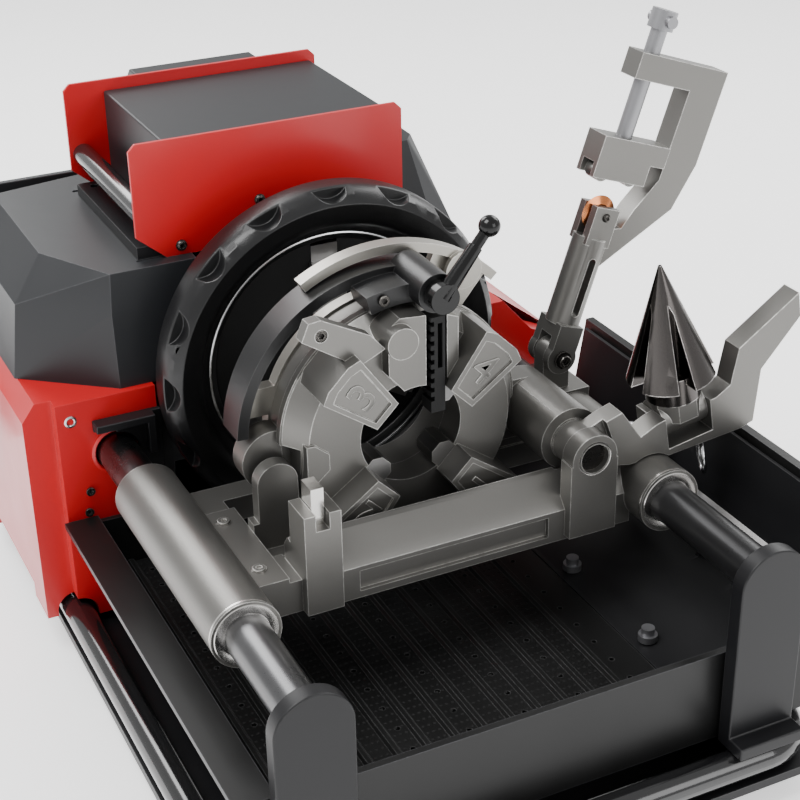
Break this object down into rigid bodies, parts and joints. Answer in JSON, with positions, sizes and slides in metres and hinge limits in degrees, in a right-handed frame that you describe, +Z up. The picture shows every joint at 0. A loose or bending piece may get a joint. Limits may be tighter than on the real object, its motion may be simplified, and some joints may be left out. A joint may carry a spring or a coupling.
{
  "type": "pipe threading machine",
  "caption": "Portable bench pipe threading machine: hand-closed chuck on a powered headstock, rail carriage with swing-up die head, pipe cutter, reamer and oil pan.",
  "frame": {"origin": "centre of the rectangle of stand bolts, in the plane of the feet", "axes": "+X along the spindle from the headstock towards the free ends of the rails, +Y towards the side where cutter and reamer park, +Z up"},
  "size_m": [0.741, 0.6182, 0.551],
  "materials": {
    "skid_black": "gloss black enamel",
    "plate_grey": "satin dark grey paint",
    "rubber": "matt",
    "cast_dark": "painted dark grey casting",
    "bronze": "sintered bronze",
    "rail_steel": "ground bar",
    "rail_black": "oiled black oxide bar",
    "pan_black": "satin black sheet",
    "tray_black": "matt black sheet",
    "liner_black": "matt black moulding",
    "bolt_steel": "zinc plated",
    "red_paint": "satin red powder coat",
    "cover_grey": "fine textured charcoal moulding",
    "motor_grey": "as cast",
    "battery_shell": "textured black moulding",
    "pin_dark": "black oxide pin",
    "gear_steel": "hobbed and oiled",
    "chuck_black": "black oxide casting",
    "ring_black": "textured black paint",
    "jaw_steel": "machined steel",
    "cast_alu": "bead blasted casting",
    "bushing_bright": "turned face",
    "zinc": "bright zinc plate",
    "cam_steel": "ground plate",
    "bar_black": "textured black paint",
    "lever_black": "polished black grip",
    "die_steel": "hardened tool steel",
    "copper_wheel": "copper coloured plating",
    "reamer_black": "black oxide tool steel"
  },
  "bodies": {
    "frame": {"base_skid": "skid_black", "base_plate": "plate_grey", "rubber_feet": "rubber", "headstock_casting": "cast_dark", "spindle_bearings": "bronze", "rail_left": "rail_steel", "rail_right": "rail_black", "rail_end_brackets": "plate_grey", "oil_pan": "pan_black", "chip_tray": "tray_black", "pan_liner": "liner_black", "tray_bolts": "bolt_steel", "side_panel_left": "red_paint", "side_panel_right": "red_paint", "cover_left": "cover_grey", "cover_right": "cover_grey", "top_housing": "cover_grey", "front_plate": "red_paint", "rear_plate": "red_paint", "carry_tube": "skid_black", "latch_bar": "plate_grey", "rear_cover": "cover_grey", "motor_can": "motor_grey", "battery_pack": "battery_shell", "cover_screws": "pin_dark", "rail_bracket": "liner_black", "feed_rack": "gear_steel"},
    "motor_rotor": {"motor_pinion": "gear_steel"},
    "power_switch": {"power_paddle": "red_paint"},
    "spindle": {"spindle_tube": "gear_steel", "spindle_gear": "gear_steel", "chuck_body": "chuck_black"},
    "chuck_hand_ring": {"chuck_ring": "ring_black"},
    "jaw_a_body": {"jaw_a": "jaw_steel"},
    "jaw_b_body": {"jaw_b": "jaw_steel"},
    "jaw_c_body": {"jaw_c": "jaw_steel"},
    "carriage": {"carriage_casting": "cast_alu", "sleeve_bushings": "bushing_bright", "hinge_pins": "pin_dark", "carriage_screws": "bolt_steel"},
    "feed_wheel": {"handwheel": "zinc", "feed_pinion": "gear_steel"},
    "die_head": {"die_body": "cast_alu", "die_front_plate": "cast_alu", "size_link": "pin_dark"},
    "throwout": {"cam_plate": "cam_steel", "throwout_bar": "bar_black"},
    "lock_lever": {"clamp_lever": "lever_black"},
    "die_1_body": {"die_1": "die_steel"},
    "die_2_body": {"die_2": "die_steel"},
    "die_3_body": {"die_3": "die_steel"},
    "die_4_body": {"die_4": "die_steel"},
    "cutter": {"cutter_frame": "cast_alu"},
    "cutting_wheel": {"cutter_wheel": "copper_wheel"},
    "roller_slide": {"roller_carrier": "cast_alu"},
    "feed_screw": {"cutter_screw": "bolt_steel"},
    "reamer_lever": {"reamer_arm": "cast_alu", "pull_ring": "zinc"},
    "reamer": {"reamer_head": "cast_alu", "reamer_cone": "reamer_black"}
  },
  "joints": [
    {"name": "spindle_spin", "type": "hinge", "parent": "frame", "child": "spindle", "pos_m": [-0.157, 0, 0.265], "axis": [1, 0, 0], "continuous": true},
    {"name": "motor_spin", "type": "hinge", "parent": "frame", "child": "motor_rotor", "pos_m": [-0.167, -0.02, 0.38028], "axis": [1, 0, 0], "continuous": true},
    {"name": "paddle_press", "type": "hinge", "parent": "frame", "child": "power_switch", "pos_m": [-0.206, -0.278, 0.229], "axis": [1, 0, 0], "range_deg": [0, 9], "stiffness_Nm_per_rad": 1.5},
    {"name": "chuck_ring_turn", "type": "hinge", "parent": "spindle", "child": "chuck_hand_ring", "pos_m": [-0.027, 0, 0.265], "axis": [1, 0, 0], "range_deg": [-48, 0]},
    {"name": "jaw_a_slide", "type": "slide", "parent": "spindle", "child": "jaw_a_body", "axis": [0, 0, -1], "range_m": [0, 0.0225]},
    {"name": "jaw_b_slide", "type": "slide", "parent": "spindle", "child": "jaw_b_body", "axis": [0, 0.866, 0.5], "range_m": [0, 0.0225]},
    {"name": "jaw_c_slide", "type": "slide", "parent": "spindle", "child": "jaw_c_body", "axis": [0, -0.866, 0.5], "range_m": [0, 0.0225]},
    {"name": "carriage_feed", "type": "slide", "parent": "frame", "child": "carriage", "axis": [1, 0, 0], "range_m": [-0.03, 0.095]},
    {"name": "feed_wheel_turn", "type": "hinge", "parent": "carriage", "child": "feed_wheel", "pos_m": [0.098, 0.24, 0.153], "axis": [0, 1, 0], "range_deg": [-276, 90]},
    {"name": "die_head_tilt", "type": "hinge", "parent": "carriage", "child": "die_head", "pos_m": [0.123, 0.1246, 0.244], "axis": [1, 0, 0], "range_deg": [-45, 0]},
    {"name": "throwout_turn", "type": "hinge", "parent": "die_head", "child": "throwout", "pos_m": [0.083, 0, 0.265], "axis": [1, 0, 0], "range_deg": [-25, 0]},
    {"name": "die_1_slide", "type": "slide", "parent": "die_head", "child": "die_1_body", "axis": [0, 0.7071, -0.7071], "range_m": [0, 0.0065]},
    {"name": "die_2_slide", "type": "slide", "parent": "die_head", "child": "die_2_body", "axis": [0, -0.7071, -0.7071], "range_m": [0, 0.0065]},
    {"name": "die_3_slide", "type": "slide", "parent": "die_head", "child": "die_3_body", "axis": [0, -0.7071, 0.7071], "range_m": [0, 0.0065]},
    {"name": "die_4_slide", "type": "slide", "parent": "die_head", "child": "die_4_body", "axis": [0, 0.7071, 0.7071], "range_m": [0, 0.0065]},
    {"name": "lock_lever_turn", "type": "hinge", "parent": "throwout", "child": "lock_lever", "pos_m": [0.153, 0.017, 0.385], "axis": [1, 0, 0], "range_deg": [-60, 30]},
    {"name": "cutter_swing", "type": "hinge", "parent": "carriage", "child": "cutter", "pos_m": [0.056, 0.176, 0.26], "axis": [1, 0, 0], "range_deg": [0, 102]},
    {"name": "cutting_wheel_spin", "type": "hinge", "parent": "cutter", "child": "cutting_wheel", "pos_m": [0.056, 0.21767, 0.38103], "axis": [1, 0, 0], "continuous": true},
    {"name": "roller_feed", "type": "slide", "parent": "cutter", "child": "roller_slide", "axis": [0, 0.3256, 0.9455], "range_m": [0, 0.045]},
    {"name": "feed_screw_turn", "type": "hinge", "parent": "roller_slide", "child": "feed_screw", "pos_m": [0.056, 0.25414, 0.48692], "axis": [0, 0.3256, 0.9455], "range_deg": [0, 1625]},
    {"name": "reamer_swing", "type": "hinge", "parent": "carriage", "child": "reamer_lever", "pos_m": [0.185, 0.1246, 0.244], "axis": [1, 0, 0], "range_deg": [0, 55]},
    {"name": "reamer_swivel", "type": "hinge", "parent": "reamer_lever", "child": "reamer", "pos_m": [0.178, 0.22172, 0.24894], "axis": [0, 0.9848, 0.1736], "range_deg": [-40, 0]}
  ],
  "couplings": [
    {"joint": "motor_spin", "follows": "spindle_spin", "ratio": -3.3333},
    {"joint": "jaw_a_slide", "follows": "chuck_ring_turn", "m_per_rad": -0.026261},
    {"joint": "jaw_b_slide", "follows": "chuck_ring_turn", "m_per_rad": -0.026261},
    {"joint": "jaw_c_slide", "follows": "chuck_ring_turn", "m_per_rad": -0.026261},
    {"joint": "feed_wheel_turn", "follows": "carriage_feed", "rad_per_m": -50},
    {"joint": "die_1_slide", "follows": "throwout_turn", "m_per_rad": -0.013751},
    {"joint": "die_2_slide", "follows": "throwout_turn", "m_per_rad": -0.013751},
    {"joint": "die_3_slide", "follows": "throwout_turn", "m_per_rad": -0.013751},
    {"joint": "die_4_slide", "follows": "throwout_turn", "m_per_rad": -0.013751},
    {"joint": "feed_screw_turn", "follows": "roller_feed", "rad_per_m": 628.32}
  ]
}
